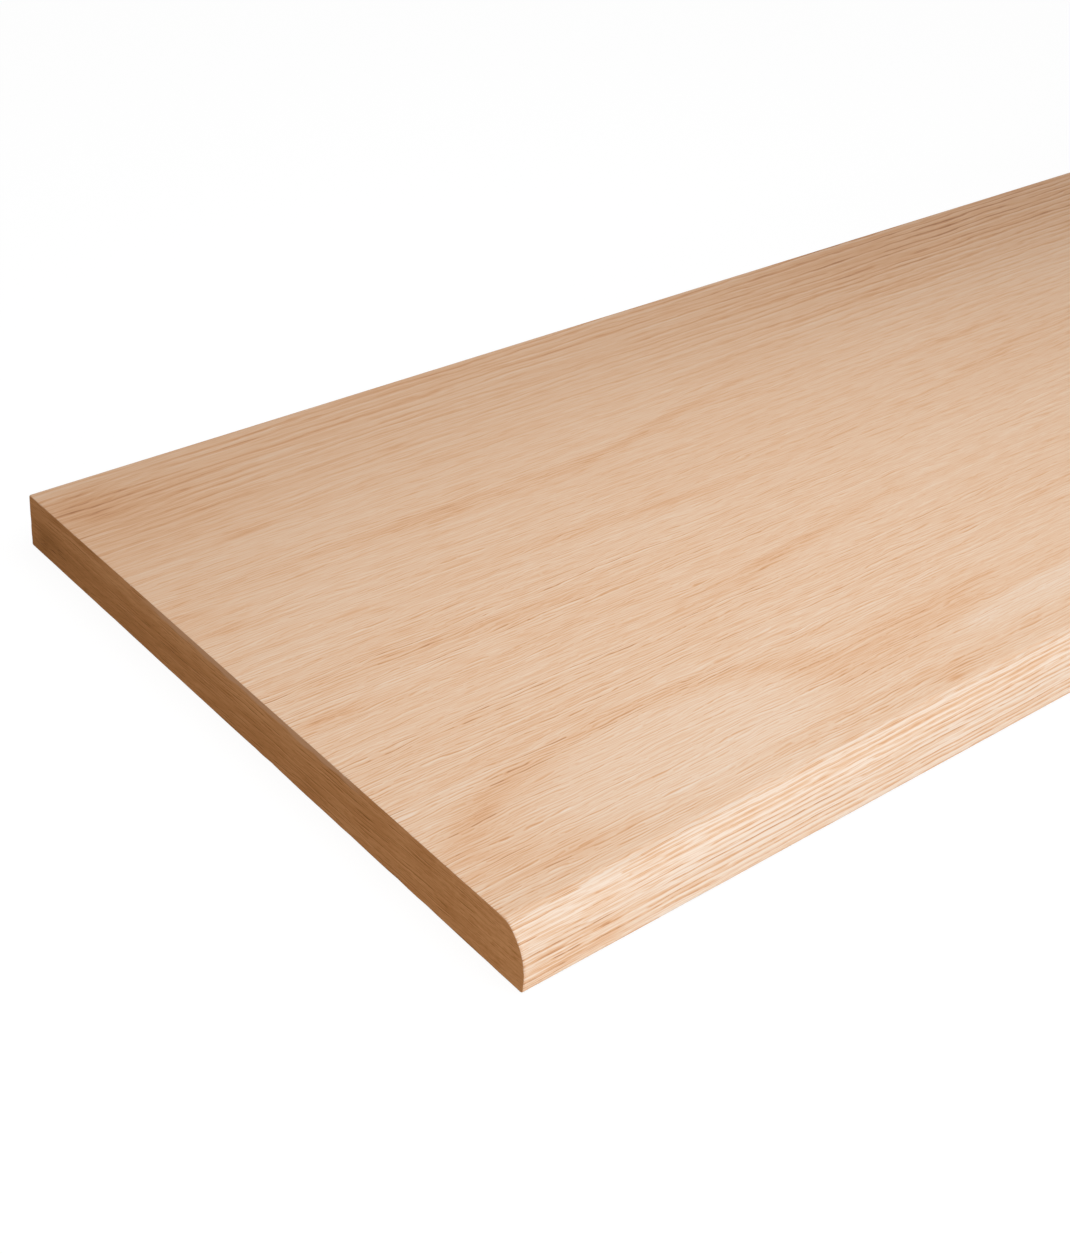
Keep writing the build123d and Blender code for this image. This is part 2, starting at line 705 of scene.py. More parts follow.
def eyes_and_rims(wood, flowing, across):
    """How far inside a pale eye the place is, how near to its rim and its halo, and how lively the grain."""
    inside, rim, halo = 0.0, 0.0, 0.0
    for (at_along, at_across), (half_length, half_width) in pale_eyes:
        away = wood.vector("SUBTRACT", flowing, (at_along, at_across, 0.0))
        away = wood.vector("MULTIPLY", away, (1 / half_length, 1 / half_width, 0.0))
        out = wood.vector("LENGTH", away)
        inside = wood.math("MAXIMUM", inside, wood.fade(out, *eye_border))
        near_rim = wood.times(wood.fade(out, *rim_inside), wood.fade(out, *rim_outside))
        rim = wood.math("MAXIMUM", rim, near_rim)
        near_halo = wood.times(wood.fade(out, *halo_inside), wood.fade(out, *halo_outside))
        halo = wood.math("MAXIMUM", halo, near_halo)
    strong = wood.fade(across, *strong_side)
    rim_share = wood.math("MULTIPLY_ADD", strong, 1.0 - weak_rim_share, weak_rim_share)
    return {
        "inside_eye": inside,
        "eye_rim": wood.times(rim, rim_share),
        "eye_halo": wood.times(halo, strong),
        "lively": wood.math("MULTIPLY_ADD", inside, -calmed_by, 1.0),
    }


# %% [markdown]
# ## Stretched noises
#
# Seen from a few steps away, oak has soft blotches as large as a hand, long bands, and flames and blushes as
# long as a finger. Closer up there are the strokes of cut fibre, and single fibres. All of them are noise,
# stretched along the grain by a size that is larger along than across. Six plain ones are easier to tune than
# a single noise with many octaves, because each has one size and one strength.

# %% Noises from a hand down to a fibre
# Each size: along the grain, across it and up, in millimetres
blotch_size = (200.0, 55.0, 55.0)
band_size = (110.0, 7.0, 7.0)
flame_size = (46.0, 2.1, 2.1)
blush_size = (15.0, 2.0, 2.0)
blush_border = (0.0, 0.45)
stroke_size = (13.0, 0.80, 0.80)
fibre_size = (11.0, 0.36, 0.36)


def grain_noises(wood, place, flowing, strokes, lively):
    """The noises by name. The middle-sized ones are weaker where the grain is calm."""
    blushes = wood.fade(wood.noise(flowing, blush_size, detail=0.0), *blush_border)
    return {
        "blotches": wood.noise(place, blotch_size, detail=1.0),
        "bands": wood.times(wood.noise(flowing, band_size, detail=1.0), lively),
        "flames": wood.times(wood.noise(flowing, flame_size, detail=1.0), lively),
        "blushes": wood.times(blushes, lively),
        "strokes": strokes,
        "fibres": wood.noise(flowing, fibre_size, detail=1.0),
    }


# %% [markdown]
# ## Rings on the face
#
# Each ring starts with a band of soft spring wood, which is a little darker here, and no two years are the
# same. Fine lines run with the rings: noise asked at the place along the board and at the ring's depth, so it
# bends wherever the rings bend. A wave texture could draw rings too, but it would know nothing of the arch
# and the swells that shape the worn mesh.

# %% Spring wood, years and fine lines
ring_stray_with_strokes = 0.14
new_year = (0.88, 1.0)
line_size = (70.0, 0.80, 1.0)
line_border = (-0.12, 0.22)


def ring_effects(wood, place, along, stray, strokes):
    """How much spring wood is at the place, the year's own level from -0.5 to 0.5, and the fine lines."""
    depths = wood.add(ring_depth_nodes(wood, place), stray, wood.times(strokes, ring_stray_with_strokes))
    count = ring_count_nodes(wood, depths)
    through_year = wood.math("FRACT", count)
    early = wood.fade(through_year, spring_wood_share, 0.0)
    year = wood.node("TexWhiteNoise", {"W": wood.math("FLOOR", count)}, noise_dimensions="1D").outputs[0]
    with_rings = wood.node("CombineXYZ", {0: along, 1: depths}).outputs[0]
    lines = wood.noise(with_rings, line_size, detail=2.0, roughness=0.6)
    return {
        "spring_wood": wood.math("MAXIMUM", early, wood.fade(through_year, *new_year)),
        "year": wood.add(year, -0.5),
        "lines": wood.fade(lines, *line_border),
    }


# %% [markdown]
# ## Rows of dashes
#
# Cut lengthwise, the pores of oak show as fine dark dashes in rows, each with a ridge of paler wood beside
# it. Noise alone gives blotches, never separate lines of one width. So the face is divided into narrow rows,
# each row holds one line at a place of its own, and a noise of its own breaks that line into dashes.
#
# Five kinds of rows lie over one another: short and long dashes on the top, finer ones among them, the
# evenly spaced lines of the nose, and the long lines along the back.

# %% A helper for rows of dashes
# Millimetres from line to line and from dash to dash. The rest are shares of a row or of its lines: where the
# rows start, how much of a line shows, half the width of a line, and how much of that is at full strength.
Rows = namedtuple("Rows", "spacing start dash_length share half_width core", defaults=(0.25,))

line_place_from = 0.32
line_place_spread = 0.36
noise_between_rows = 3.7
dash_tip = 0.14
ridge_beside = 1.9
ridge_core = 0.25


def dashes_in_rows(wood, along, across, kind, share=None):
    """Dark dashes, and the pale ridge beside each. share stands in for the kind's own where it varies."""
    rows = wood.math("MULTIPLY_ADD", across, 1 / kind.spacing, kind.start)
    row = wood.math("FLOOR", rows)
    level_of_row = wood.node("TexWhiteNoise", {"W": row}, noise_dimensions="1D").outputs[0]
    line_place = wood.math("MULTIPLY_ADD", level_of_row, line_place_spread, line_place_from)
    off_line = wood.math("SUBTRACT", wood.math("FRACT", rows), line_place)
    in_dashes = wood.times(along, 1 / kind.dash_length)
    own_place = wood.node("CombineXYZ", {0: in_dashes, 1: wood.times(row, noise_between_rows)}).outputs[0]
    level = wood.noise(own_place, (1.0, 1.0, 1.0), detail=1.0)
    shows = wood.add(level, kind.share if share is None else share)
    present = wood.fade(shows, 0.0, dash_tip)
    dash = wood.fade(wood.math("ABSOLUTE", off_line), kind.half_width, kind.core * kind.half_width)
    off_ridge = wood.math("ABSOLUTE", wood.add(off_line, ridge_beside * kind.half_width))
    ridge = wood.fade(off_ridge, kind.half_width, ridge_core * kind.half_width)
    return wood.times(dash, present), wood.times(ridge, present)


# %% The five kinds of rows
short_rows = Rows(spacing=1.8, start=0.0, dash_length=10.0, share=0.18, half_width=0.13)
long_rows = Rows(spacing=2.1, start=0.37, dash_length=26.0, share=0.08, half_width=0.13)
nose_rows = Rows(spacing=2.3, start=0.83, dash_length=27.0, share=0.38, half_width=0.25, core=0.5)
back_rows = Rows(spacing=3.9, start=0.0, dash_length=80.0, share=0.30, half_width=0.18)
fine_rows = Rows(spacing=1.05, start=0.71, dash_length=6.0, share=0.26, half_width=0.22)

more_in_eyes = 0.06
fewer_near_left = 0.30
slope_at_back = 0.0195

# Rows are counted across the board and up its nose, and follow the wandering grain less on the nose
row_direction = (0.0, 0.9, 1.0)
wander_kept = 0.75
wander_lost_on_nose = 0.25


def across_the_rows(wood, place, flowing, on_nose):
    """The distance across the grain from which the rows are counted."""
    straight = wood.vector("DOT_PRODUCT", place, row_direction)
    wandering = wood.vector("DOT_PRODUCT", flowing, row_direction)
    kept = wood.math("MULTIPLY_ADD", on_nose, -wander_lost_on_nose, wander_kept)
    return wood.add(straight, wood.times(wood.math("SUBTRACT", wandering, straight), kept))


def dash_effects(wood, along, grain, effects):
    """All dashes and ridges by name. grain is the distance across the rows."""
    short_share = wood.math("MULTIPLY_ADD", effects["inside_eye"], more_in_eyes, short_rows.share)
    nose_share = wood.math("MULTIPLY_ADD", effects["near_left"], -fewer_near_left, nose_rows.share)
    sloped = wood.math("MULTIPLY_ADD", along, -slope_at_back, grain)
    made = {
        "short": dashes_in_rows(wood, along, grain, short_rows, short_share),
        "long": dashes_in_rows(wood, along, grain, long_rows),
        "nose": dashes_in_rows(wood, along, grain, nose_rows, nose_share),
        "back": dashes_in_rows(wood, along, sloped, back_rows),
        "fine": dashes_in_rows(wood, along, grain, fine_rows),
    }
    dashes = {f"{name}_dashes": pair[0] for name, pair in made.items()}
    ridges = {f"{name}_ridges": pair[1] for name, pair in made.items()}
    return {**dashes, **ridges}


# %% [markdown]
# ## Slow figure
#
# Between the eyes, soft darker lines and clouds wander over the top, with a small knot's shadow by the nose.
# A noise could make such figure but not put it where the photograph has it. So each is a stain: a darkening
# that fades like a bell, long along the grain and narrow across it, at a small slant where the real one has
# it. Right of the middle, which the photograph doesn't show, the stains are made up in the same manner.

# %% Stains along the grain
# Each stain: its place from the left end and the nose, its reach along and across, its slant, its darkness
face_stains = [
    ((212.0, 17.0), (20.0, 4.5), 0.00, 0.12),
    ((209.0, 13.6), (4.6, 1.7), 0.00, 0.32),
    ((55.0, 227.0), (12.0, 1.8), 0.00, 0.22),
    ((84.0, 232.0), (14.0, 2.2), 0.00, 0.10),
    ((12.0, 274.0), (17.0, 9.0), 0.00, 0.11),
    ((16.0, 265.0), (9.0, 2.2), -0.08, 0.14),
    ((167.0, 202.0), (6.0, 1.8), 0.00, 0.10),
    ((186.0, 198.0), (22.0, 3.2), 0.00, 0.13),
    ((15.0, 118.0), (12.0, 3.0), 0.00, 0.23),
    ((12.0, 178.0), (18.0, 2.8), -0.20, 0.13),
    ((4.0, 191.0), (16.0, 7.0), 0.00, 0.10),
    ((60.0, 200.0), (62.0, 2.6), 0.00, 0.09),
    ((120.0, 199.0), (34.0, 4.4), 0.00, 0.18),
    ((250.0, 206.0), (60.0, 2.4), 0.17, 0.16),
    ((165.0, 159.0), (60.0, 2.8), -0.08, 0.15),
    ((212.0, 156.5), (34.0, 2.4), -0.03, 0.11),
    ((85.0, 131.0), (75.0, 3.0), -0.08, 0.13),
    ((80.0, 111.0), (80.0, 2.2), 0.02, 0.10),
    ((222.0, 106.0), (62.0, 3.7), 0.13, 0.16),
    ((320.0, 114.0), (80.0, 2.4), 0.00, 0.09),
    ((290.0, 72.0), (80.0, 2.6), 0.10, 0.09),
    ((235.0, 48.0), (52.0, 8.0), 0.10, 0.13),
    ((415.0, 192.5), (60.0, 1.5), 0.02, 0.18),
    ((425.0, 170.0), (40.0, 2.0), 0.15, 0.11),
    ((400.0, 243.0), (60.0, 2.4), 0.02, 0.10),
    ((55.0, 122.0), (90.0, 40.0), 0.00, 0.06),
    ((24.0, 252.0), (44.0, 36.0), 0.00, 0.10),
    ((95.0, 248.0), (44.0, 2.4), 0.00, 0.08),
    ((138.0, 247.0), (7.0, 1.6), 0.00, 0.16),
    ((300.0, 263.0), (170.0, 1.8), 0.02, 0.08),
    ((200.0, 276.0), (250.0, 1.8), 0.02, 0.06),
    ((22.0, 26.0), (34.0, 22.0), 0.00, 0.09),
    ((45.0, 22.0), (30.0, 5.0), 0.00, 0.06),
    ((150.0, 22.0), (60.0, 4.0), 0.00, 0.04),
    ((34.0, 54.0), (24.0, 12.0), 0.30, 0.07),
    ((370.0, 100.0), (75.0, 55.0), 0.00, 0.06),
    ((560.0, 300.0), (230.0, 60.0), 0.00, 0.18),
    ((470.0, 175.0), (60.0, 45.0), 0.00, 0.08),
    ((290.0, 290.0), (90.0, 12.0), 0.00, 0.08),
    ((20.0, 0.0), (26.0, 2.0), 0.00, 0.25),
    ((520.0, 74.0), (60.0, 2.8), 0.13, 0.12),
    ((585.0, 112.0), (85.0, 3.0), -0.03, 0.13),
    ((650.0, 146.0), (55.0, 2.6), -0.08, 0.13),
    ((745.0, 168.0), (80.0, 3.2), 0.10, 0.14),
    ((735.0, 122.0), (48.0, 2.4), 0.02, 0.13),
    ((845.0, 128.0), (60.0, 3.0), -0.08, 0.14),
    ((800.0, 208.0), (70.0, 2.6), -0.03, 0.13),
    ((880.0, 186.0), (26.0, 4.0), 0.13, 0.14),
    ((860.0, 70.0), (60.0, 3.0), 0.10, 0.13),
    ((872.0, 236.0), (40.0, 2.4), 0.00, 0.10),
]


def with_stains(wood, tone, flowing, along):
    """The tone with the darkness of every stain added. Stains of one slant share one tipped place."""
    for slant in sorted({stain[2] for stain in face_stains}):
        level = wood.vector("DOT_PRODUCT", flowing, (-slant, 1.0, 0.0))
        tipped = wood.node("CombineXYZ", {0: along, 1: level}).outputs[0]
        for (at_along, at_across), reach, own_slant, darker in face_stains:
            if own_slant == slant:
                spot = (at_along, at_across - slant * at_along)
                tone = wood.math("MULTIPLY_ADD", swell_nodes(wood, tipped, spot, reach), darker, tone)
    return tone


print("stains", len(face_stains))

# %% [markdown]
# ## The recipe for the face
#
# Each table of weights below is a sum. The weight for everywhere stands by itself, and each other weight
# multiplies the effect of its name: more than nothing darkens the wood, less than nothing makes it paler. The
# node editor could hold the same sum as a web of Math nodes, but a table can be read and tuned at a glance.
# Where an effect is strong in one area and weak in another, its strength is such a sum too.

# %% Noises and rings at the strength of each area
blush_weights = {"everywhere": 0.09, "near_back": -0.06}
fibre_weights = {"everywhere": 0.21, "far_back": -0.06}
spring_wood_weights = {"everywhere": 0.05, "on_nose": 0.08, "near_back": 0.03}
ring_line_weights = {"everywhere": 0.04, "near_back": 0.02}


def varied_noises(wood, effects):
    """The blushes and the fibres, which both weaken towards the back."""
    blushes = wood.times(effects["blushes"], wood.weighed(blush_weights, effects))
    fibres = wood.times(effects["fibres"], wood.weighed(fibre_weights, effects))
    return wood.add(blushes, fibres)


def varied_rings(wood, effects):
    """The spring wood and, off the nose, the fine lines that run with the rings."""
    spring_wood = wood.times(effects["spring_wood"], wood.weighed(spring_wood_weights, effects))
    lines = wood.times(effects["lines"], effects["not_nose"], wood.weighed(ring_line_weights, effects))
    return wood.times(wood.add(spring_wood, lines), effects["lively"])


# %% Short and fine marks, which grow fainter to the right and towards the back
short_dash_weights = {"everywhere": 0.18, "inside_eye": 0.04, "near_end": 0.08, "on_nose": -0.02}
fine_mark_weights = {"fine_dashes": 0.22, "fine_ridges": -0.12}
top_ridge_weights = {"short_ridges": -0.09, "long_ridges": -0.07}


def small_marks(wood, effects):
    """The short and fine dashes, and the ridges beside all but the nose's and the back's lines."""
    short_dashes = wood.times(effects["short_dashes"], wood.weighed(short_dash_weights, effects))
    fine_marks = wood.weighed(fine_mark_weights, effects)
    top_ridges = wood.times(wood.weighed(top_ridge_weights, effects), effects["not_nose"])
    return wood.times(wood.add(short_dashes, fine_marks, top_ridges), effects["marks_kept"])


# %% Long dashes on the top, clearest in one lined patch, and long lines along the back
long_dash_on_top = 0.18
long_dash_on_nose = 0.10
long_dash_in_patch = 0.07
lined_patch_place = (270.0, 86.0)
lined_patch_reach = (120.0, 14.0)
back_line_weights = {"near_back": 0.16, "far_along": 0.08}
back_ridge_share = 0.7


def long_marks(wood, effects, place):
    """The long dashes, and the back's lines with their ridges."""
    patch = swell_nodes(wood, place, lined_patch_place, lined_patch_reach)
    on_top = wood.times(effects["lively"], effects["marks_kept"], long_dash_on_top)
    on_top = wood.times(wood.math("MULTIPLY_ADD", patch, long_dash_in_patch, on_top), effects["not_nose"])
    strength = wood.math("MULTIPLY_ADD", effects["on_nose"], long_dash_on_nose, on_top)
    back_lines = wood.math("MULTIPLY_ADD", effects["back_ridges"], -back_ridge_share, effects["back_dashes"])
    back_lines = wood.times(back_lines, wood.weighed(back_line_weights, effects))
    return wood.math("MULTIPLY_ADD", effects["long_dashes"], strength, back_lines)


# %% Lines of the nose
nose_row_strength = 0.49
nose_ring_line_strength = 0.30
nose_ridge_strength = -0.14
nose_stroke_weights = {"everywhere": 0.05, "near_left": 0.21}
unbroken_weights = {"everywhere": 1.06, "strokes": 1.8}


def nose_lines(wood, effects):
    """The nose's rows or the rings' lines, whichever are darker, with gaps, ridges and strokes."""
    rows = wood.times(effects["nose_dashes"], nose_row_strength)
    lines = wood.math("MAXIMUM", rows, wood.times(effects["lines"], nose_ring_line_strength))
    unbroken = wood.math("MINIMUM", wood.weighed(unbroken_weights, effects), 1.0)
    ridges = wood.times(effects["nose_ridges"], nose_ridge_strength)
    strokes = wood.times(effects["strokes"], wood.weighed(nose_stroke_weights, effects))
    return wood.times(wood.add(wood.times(lines, unbroken), ridges, strokes), effects["on_nose"])


# %% The tone as one sum
tone_weights = {
    "everywhere": 0.29,
    "on_nose": -0.32,
    "nose_arris": 0.12,
    # Darker towards the back: partly the wood's own tone, partly painted shade for the light falling off there
    "far_back": 0.12,
    "near_back": 0.04,
    "inside_eye": -0.08,
    "eye_rim": 0.125,
    "eye_halo": -0.05,
    "year": 0.03,
    "blotches": 0.10,
    "bands": 0.04,
    "flames": 0.045,
    "strokes": 0.05,
}


def face_tone(wood, effects, place, flowing, along):
    """The tone of the face: the plain sum, the effects that vary over the board, and the stains."""
    tone = wood.add(
        wood.weighed(tone_weights, effects),
        varied_noises(wood, effects),
        varied_rings(wood, effects),
        small_marks(wood, effects),
        long_marks(wood, effects, place),
        nose_lines(wood, effects),
    )
    return with_stains(wood, tone, flowing, along)


# %% [markdown]
# ## The face's surface
#
# Bare oak has hardly any shine. The pores are tiny grooves and the fibres tiny ribs, too small for the mesh,
# so a bump shades them as if they were there. Up the nose and towards the back the board is dimmer without
# being more orange, so there the finished colour is dimmed instead of moving along the ramp. That dimming is
# painted shade: on the nose it evens out the extra light that the shoulder catches from the lamps, and towards
# the back and its right corner it stands in for light falling off.

# %% Colour, relief and shine
# Painted shade: the colour is scaled down on the upper nose, towards the back and at the back right corner
painted_shade_weights = {
    "everywhere": 1.0,
    "nose_height": -0.15,
    "far_back": -0.075,
    "near_back": -0.035,
    "far_corner": -0.04,
}
face_height_weights = {"short_dashes": -0.22, "fine_dashes": -0.16, "fibres": -0.40}
face_bump_strength = 0.4
face_bump_depth = 0.03 * MM
face_roughness_weights = {"everywhere": 0.60, "strokes": 0.08, "short_dashes": 0.08}
face_shine = 0.28


def face_effects(wood, place, flowing, stray):
    """Every effect of the face, by name, and how far along the board the place is."""
    along, across, up = wood.node("SeparateXYZ", {0: place}).outputs
    strokes = wood.noise(flowing, stroke_size, detail=2.0, roughness=0.6)
    effects = face_areas(wood, along, across, up, strokes)
    effects.update(eyes_and_rims(wood, flowing, across))
    effects.update(grain_noises(wood, place, flowing, strokes, effects["lively"]))
    effects.update(ring_effects(wood, place, along, stray, strokes))
    grain = across_the_rows(wood, place, flowing, effects["on_nose"])
    effects.update(dash_effects(wood, along, grain, effects))
    return effects, along


def face_grain():
    """Bare sanded oak along the grain."""
    wood = Finish("oak_face_grain")
    place = place_in_wood(wood)
    flowing, stray = flow_of_grain(wood, place)
    effects, along = face_effects(wood, place, flowing, stray)
    tone = face_tone(wood, effects, place, flowing, along)
    # The ramp's colour, scaled down by the painted shade
    oak = {0: wood.ramp(tone, oak_ramp), "Scale": wood.weighed(painted_shade_weights, effects)}
    colour = wood.node("VectorMath", oak, operation="SCALE").outputs[0]
    height = wood.weighed(face_height_weights, effects)
    bump = wood.bump(height, face_bump_strength, face_bump_depth)
    wood.surface(colour, wood.weighed(face_roughness_weights, effects), face_shine, bump)
    return wood.material


face_finish = face_grain()
print("face grain nodes", len(face_finish.node_tree.nodes))

# %% [markdown]
# ## End grain
#
# The sawn ends look into the ends of the fibres, which drink light: end grain is much darker and browner than
# the face of the same board. The saw pulls the fibres sideways as it cuts, so what shows is mostly its own
# drag: long level streaks, finer scratches among them, broken lines, and only a trace of the rings beneath.
# A darker knot lies at the back corner, and a greyer strip under the top arris, where the last fibres tore.
# The face's own shader with a darker ramp would show the wrong marks, so the ends have a recipe of their own.

# %% Colours of sawn oak end grain
end_ramp = [
    (0.00, (0.740, 0.350, 0.140)),
    (0.30, (0.580, 0.244, 0.080)),
    (0.70, (0.390, 0.154, 0.038)),
    (1.00, (0.180, 0.064, 0.015)),
]
torn_grey = (0.750, 0.415, 0.228, 1.0)

# Each mark: place from the nose and the underside, reach across and up, and how much darker it is
end_marks = [
    ((277.0, 9.0), (9.0, 3.6), 0.22),
    ((282.0, 7.0), (4.0, 4.4), 0.16),
    ((268.0, 8.0), (9.0, 2.0), 0.12),
    ((256.0, 20.6), (16.0, 1.2), 0.20),
    ((272.0, 20.5), (5.0, 1.4), 0.22),
    ((252.0, 1.8), (2.2, 1.4), 0.26),
    ((287.0, 2.0), (14.0, 2.0), 0.16),
    ((5.0, 12.5), (1.2, 0.5), 0.26),
    ((4.8, 10.6), (1.0, 0.5), 0.22),
    ((13.0, 2.6), (1.6, 0.7), 0.24),
    ((208.0, 12.0), (3.0, 0.6), 0.18),
    ((176.0, 21.2), (8.0, 0.9), 0.10),
]
print("marks on each end", len(end_marks))

# %% Streaks that sway with the saw
# Each size: along the grain, across it and up, in millimetres
sway_size = (60.0, 52.0, 9.0)
bend_size = (20.0, 11.0, 4.0)
streak_sway = 1.6
streak_bend = 0.35
streak_slope = 0.02
streak_size = (1.0, 34.0, 1.5)
scratch_size = (1.0, 14.0, 0.5)
fuzz_size = (4.0, 2.6, 1.0)
cloud_size = (60.0, 22.0, 9.0)
ring_sway = 0.9

# The saw's broken lines, which crowd into the middle of the end, and short nicks all over it
drag_rows = Rows(spacing=1.45, start=0.0, dash_length=17.0, share=-0.14, half_width=0.15)
nick_rows = Rows(spacing=0.85, start=0.4, dash_length=4.5, share=-0.04, half_width=0.20)
more_drag_in_middle = 0.16
middle_from = (20.0, 60.0)
middle_to = (235.0, 190.0)

# The fuzz is near the nose, and the upper back part of the end is paler
fuzz_border = (110.0, 20.0)
pale_height = (11.0, 19.0)
pale_stretch = (40.0, 180.0)


def end_effects(wood, place, across, up):
    """Every effect of a sawn end by name, with the height counted from the swaying streaks."""
    sway = wood.noise(place, sway_size, detail=2.0)
    bend = wood.noise(place, bend_size, detail=1.0)
    swayed = wood.add(wood.times(sway, streak_sway), wood.times(bend, streak_bend))
    height = wood.add(up, swayed, wood.times(across, streak_slope))
    level = wood.node("CombineXYZ", {1: across, 2: height}).outputs[0]
    middle = wood.times(wood.fade(across, *middle_from), wood.fade(across, *middle_to))
    drag_share = wood.math("MULTIPLY_ADD", middle, more_drag_in_middle, drag_rows.share)
    drag_lines, drag_ridges = dashes_in_rows(wood, across, height, drag_rows, drag_share)
    nicks, nick_ridges = dashes_in_rows(wood, across, height, nick_rows)
    count = ring_count_nodes(wood, wood.add(ring_depth_nodes(wood, place), wood.times(sway, ring_sway)))
    return {
        "bend": bend,
        "height": height,
        "across": across,
        "streaks": wood.noise(level, streak_size, detail=3.0, roughness=0.6),
        "scratches": wood.noise(level, scratch_size, detail=2.0, roughness=0.6),
        "drag_lines": drag_lines,
        "drag_ridges": drag_ridges,
        "nicks": nicks,
        "nick_ridges": nick_ridges,
        "fuzz": wood.times(wood.noise(place, fuzz_size, detail=2.0), wood.fade(across, *fuzz_border)),
        "clouds": wood.noise(place, cloud_size, detail=2.0),
        "spring_wood": wood.fade(wood.math("FRACT", count), spring_wood_share, 0.0),
        "pale_part": wood.times(wood.fade(up, *pale_height), wood.fade(across, *pale_stretch)),
    }


# %% The end's tone, and its torn strip
end_tone_weights = {
    "everywhere": 0.14,
    "spring_wood": 0.04,
    "streaks": 0.26,
    "scratches": 0.28,
    "drag_lines": 0.40,
    "drag_ridges": -0.12,
    "nicks": 0.27,
    "nick_ridges": -0.05,
    "fuzz": 0.16,
    "clouds": 0.14,
    # Painted shade: the end grows steadily darker away from the nose, for the light falling off towards the
    # back
    "across": 0.0008,
    "pale_part": -0.20,
}
torn_from = (78.0, 92.0)
torn_to = (216.0, 196.0)
torn_height = (19.2, 20.4)
torn_wander = {"bend": 1.6, "scratches": 0.8}
torn_share = 0.75


def end_tone(wood, effects):
    """The tone of a sawn end, with its marks, which lie on the swaying streaks."""
    tone = wood.weighed(end_tone_weights, effects)
    on_streaks = wood.node("CombineXYZ", {0: effects["across"], 1: effects["height"]}).outputs[0]
    for (at_across, at_up), reach, darker in end_marks:
        spot = (at_across, at_up + streak_slope * at_across)
        tone = wood.math("MULTIPLY_ADD", swell_nodes(wood, on_streaks, spot, reach), darker, tone)
    return tone


def torn_strip(wood, effects, up):
    """How much torn, greyer fibre is at the place, under the top arris."""
    reach = wood.times(wood.fade(effects["across"], *torn_from), wood.fade(effects["across"], *torn_to))
    edge = wood.add(up, wood.weighed(torn_wander, effects))
    return wood.times(wood.fade(edge, *torn_height), reach, torn_share)


# %% Colour, relief and shine of the end
end_height_weights = {
    "streaks": -0.5,
    "scratches": -0.5,
    "drag_lines": -0.7,
    "nicks": -0.5,
    "fuzz": -0.4,
}
end_bump_strength = 0.5
end_bump_depth = 0.06 * MM
end_roughness = 0.72
end_shine = 0.12


def end_grain():
    """Sawn oak across the grain."""
    wood = Finish("oak_end_grain")
    place = place_in_wood(wood)
    across, up = wood.node("SeparateXYZ", {0: place}).outputs[1:]
    effects = end_effects(wood, place, across, up)
    brown = wood.ramp(end_tone(wood, effects), end_ramp)
    colour = wood.mix(torn_strip(wood, effects, up), brown, torn_grey)
    bump = wood.bump(wood.weighed(end_height_weights, effects), end_bump_strength, end_bump_depth)
    wood.surface(colour, end_roughness, end_shine, bump)
    return wood.material


end_finish = end_grain()
print("end grain nodes", len(end_finish.node_tree.nodes))

# %% [markdown]
# ## Put the board in the frame
#
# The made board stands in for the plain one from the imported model: it has the same outline, the same size
# and the same place, and it moves with the same body.

# %% Replace the plain board
board.data.materials.append(face_finish)
board.data.materials.append(end_finish)
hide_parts("tread")
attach(board, "root")

# %% [markdown]
# ## Floor and light
#
# The photograph is a studio picture on white. A soft box hangs over the left part of the board, a white card
# stands low at the front, so that its light rolls over the nose, and a smaller card at the left keeps the
# sawn end from going black. The floor's own paint is a dark grey, or it would throw too much light back up.
# What the camera sees of it also glows, so that it reads as white and still takes the board's shadow.

# %% A pale floor
floor_size = 12.0
floor_gap = 0.2 * MM
floor_colour = (0.13, 0.13, 0.13, 1.0)
floor_glow = 0.915


def pale_floor():
    """A floor that looks white: dark paint, and a glow that only the camera, reflections and glass see."""
    paint = Finish("pale_floor")
    path = paint.node("LightPath", {}).outputs
    seen = paint.math("MAXIMUM", path["Is Camera Ray"], path["Is Glossy Ray"])
    seen = paint.math("MAXIMUM", seen, path["Is Transmission Ray"])
    matt = paint.node("BsdfDiffuse", {"Color": floor_colour})
    glow = paint.node("Emission", {"Strength": paint.times(seen, floor_glow)})
    both = paint.node("AddShader", {0: matt.outputs[0], 1: glow.outputs[0]})
    paint.node("OutputMaterial", {"Surface": both.outputs[0]})
    return paint.material


bpy.ops.mesh.primitive_plane_add(size=floor_size, location=(0.0, 0.0, -floor_gap))
floor = bpy.context.object
floor.name = "pale_floor"
floor.data.materials.append(pale_floor())

# %% The sky of the studio, white to the camera and dimmer as a light
sky_strength = 0.45
white = (1.0, 1.0, 1.0, 1.0)

world = bpy.data.worlds.new("white_studio")
bpy.context.scene.world = world
world.use_nodes = True
sky = world.node_tree
path = sky.nodes.new("ShaderNodeLightPath")
seen_rays = path.outputs["Is Camera Ray"]
for other_rays in ("Is Glossy Ray", "Is Transmission Ray"):
    either = sky.nodes.new("ShaderNodeMath")
    either.operation = "MAXIMUM"
    sky.links.new(seen_rays, either.inputs[0])
    sky.links.new(path.outputs[other_rays], either.inputs[1])
    seen_rays = either.outputs[0]
strength = sky.nodes.new("ShaderNodeMath")
strength.operation = "MULTIPLY_ADD"
strength.inputs[1].default_value = 1.0 - sky_strength
strength.inputs[2].default_value = sky_strength
background = sky.nodes["Background"]
background.inputs["Color"].default_value = white
sky.links.new(seen_rays, strength.inputs[0])
sky.links.new(strength.outputs[0], background.inputs["Strength"])
print("sky as a light", sky_strength)

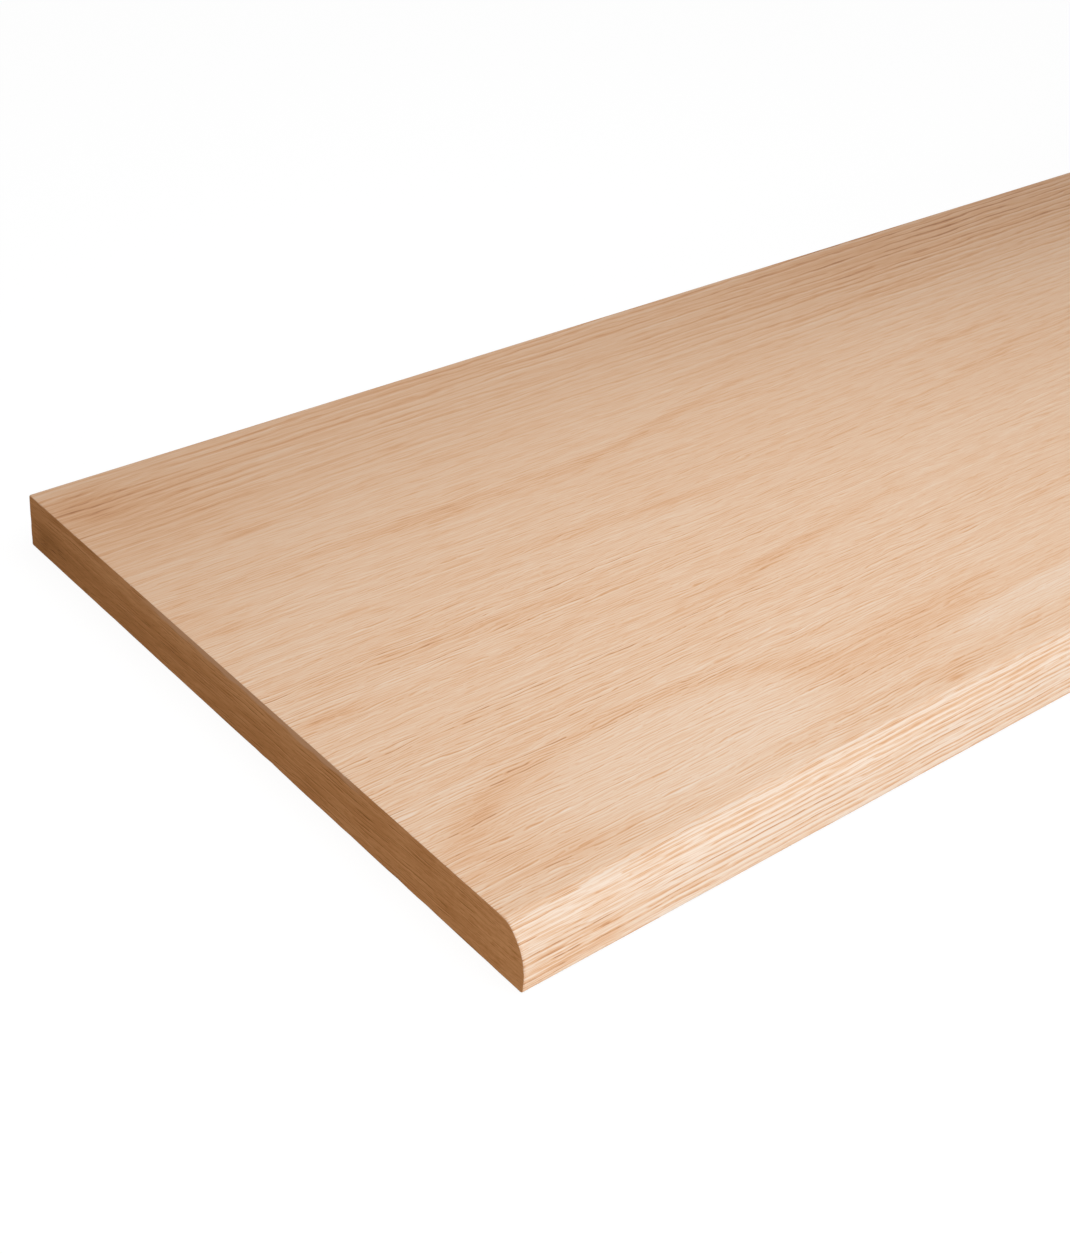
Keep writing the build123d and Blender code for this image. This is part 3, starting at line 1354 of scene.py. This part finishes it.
# %% Lamps
# Each lamp: its name, its place, what it shines at, its size and its watts
lamps = [
    ("overhead_soft_box", (-0.26, -0.12, 0.62), (-0.26, -0.1199, 0.0), 0.5, 1.72),
    ("front_white_card", (0.20, -1.10, 0.11), (-0.05, -0.14, 0.01), 0.6, 7.35),
    ("left_white_card", (-0.80, -0.90, 0.12), (-0.40, -0.14, 0.01), 0.4, 4.35),
]


def soft_lamp(name, place, aim, size, watts):
    """A square soft box at one place, turned to shine at another."""
    lamp = bpy.data.lights.new(name, "AREA")
    lamp.shape = "SQUARE"
    lamp.size = size
    lamp.energy = watts
    stand = bpy.data.objects.new(name, lamp)
    stand.location = place
    stand.rotation_euler = (Vector(aim) - Vector(place)).to_track_quat("-Z", "Y").to_euler()
    stand.visible_camera = False
    bpy.context.scene.collection.objects.link(stand)


for lamp in lamps:
    soft_lamp(*lamp)
print("lamps", len(lamps))

# %% [markdown]
# ## The camera
#
# The camera stands where the photographer's did: beyond the left front corner, looking down at 35 degrees,
# near enough for strong perspective. Its place was worked out from the slant of the board's edges in the
# photograph. It is tipped a few degrees about its own line of sight, as the edges there are.

# %% Camera from its angles
view_azimuth = math.radians(-43.57)
view_elevation = math.radians(34.67)
view_roll = math.radians(5.83)
view_place = Vector((-760.6, -454.35, 431.0)) * MM
view_lens = 58.32

flat_right = Vector((math.cos(view_azimuth), math.sin(view_azimuth), 0.0))
backward = Vector(
    (
        math.sin(view_azimuth) * math.cos(view_elevation),
        -math.cos(view_azimuth) * math.cos(view_elevation),
        math.sin(view_elevation),
    )
)
level_up = backward.cross(flat_right)
camera_right = math.cos(view_roll) * flat_right + math.sin(view_roll) * level_up
camera_up = math.cos(view_roll) * level_up - math.sin(view_roll) * flat_right

camera_data = bpy.data.cameras.new("photo_camera")
camera_data.lens = view_lens
camera = bpy.data.objects.new("photo_camera", camera_data)
turned = Matrix((camera_right, camera_up, backward)).transposed().to_4x4()
camera.matrix_world = Matrix.Translation(view_place) @ turned
bpy.context.scene.collection.objects.link(camera)
bpy.context.scene.camera = camera
bpy.context.scene.view_settings.view_transform = "Standard"
print(f"camera {view_place.length:.2f} m from the middle of the board")
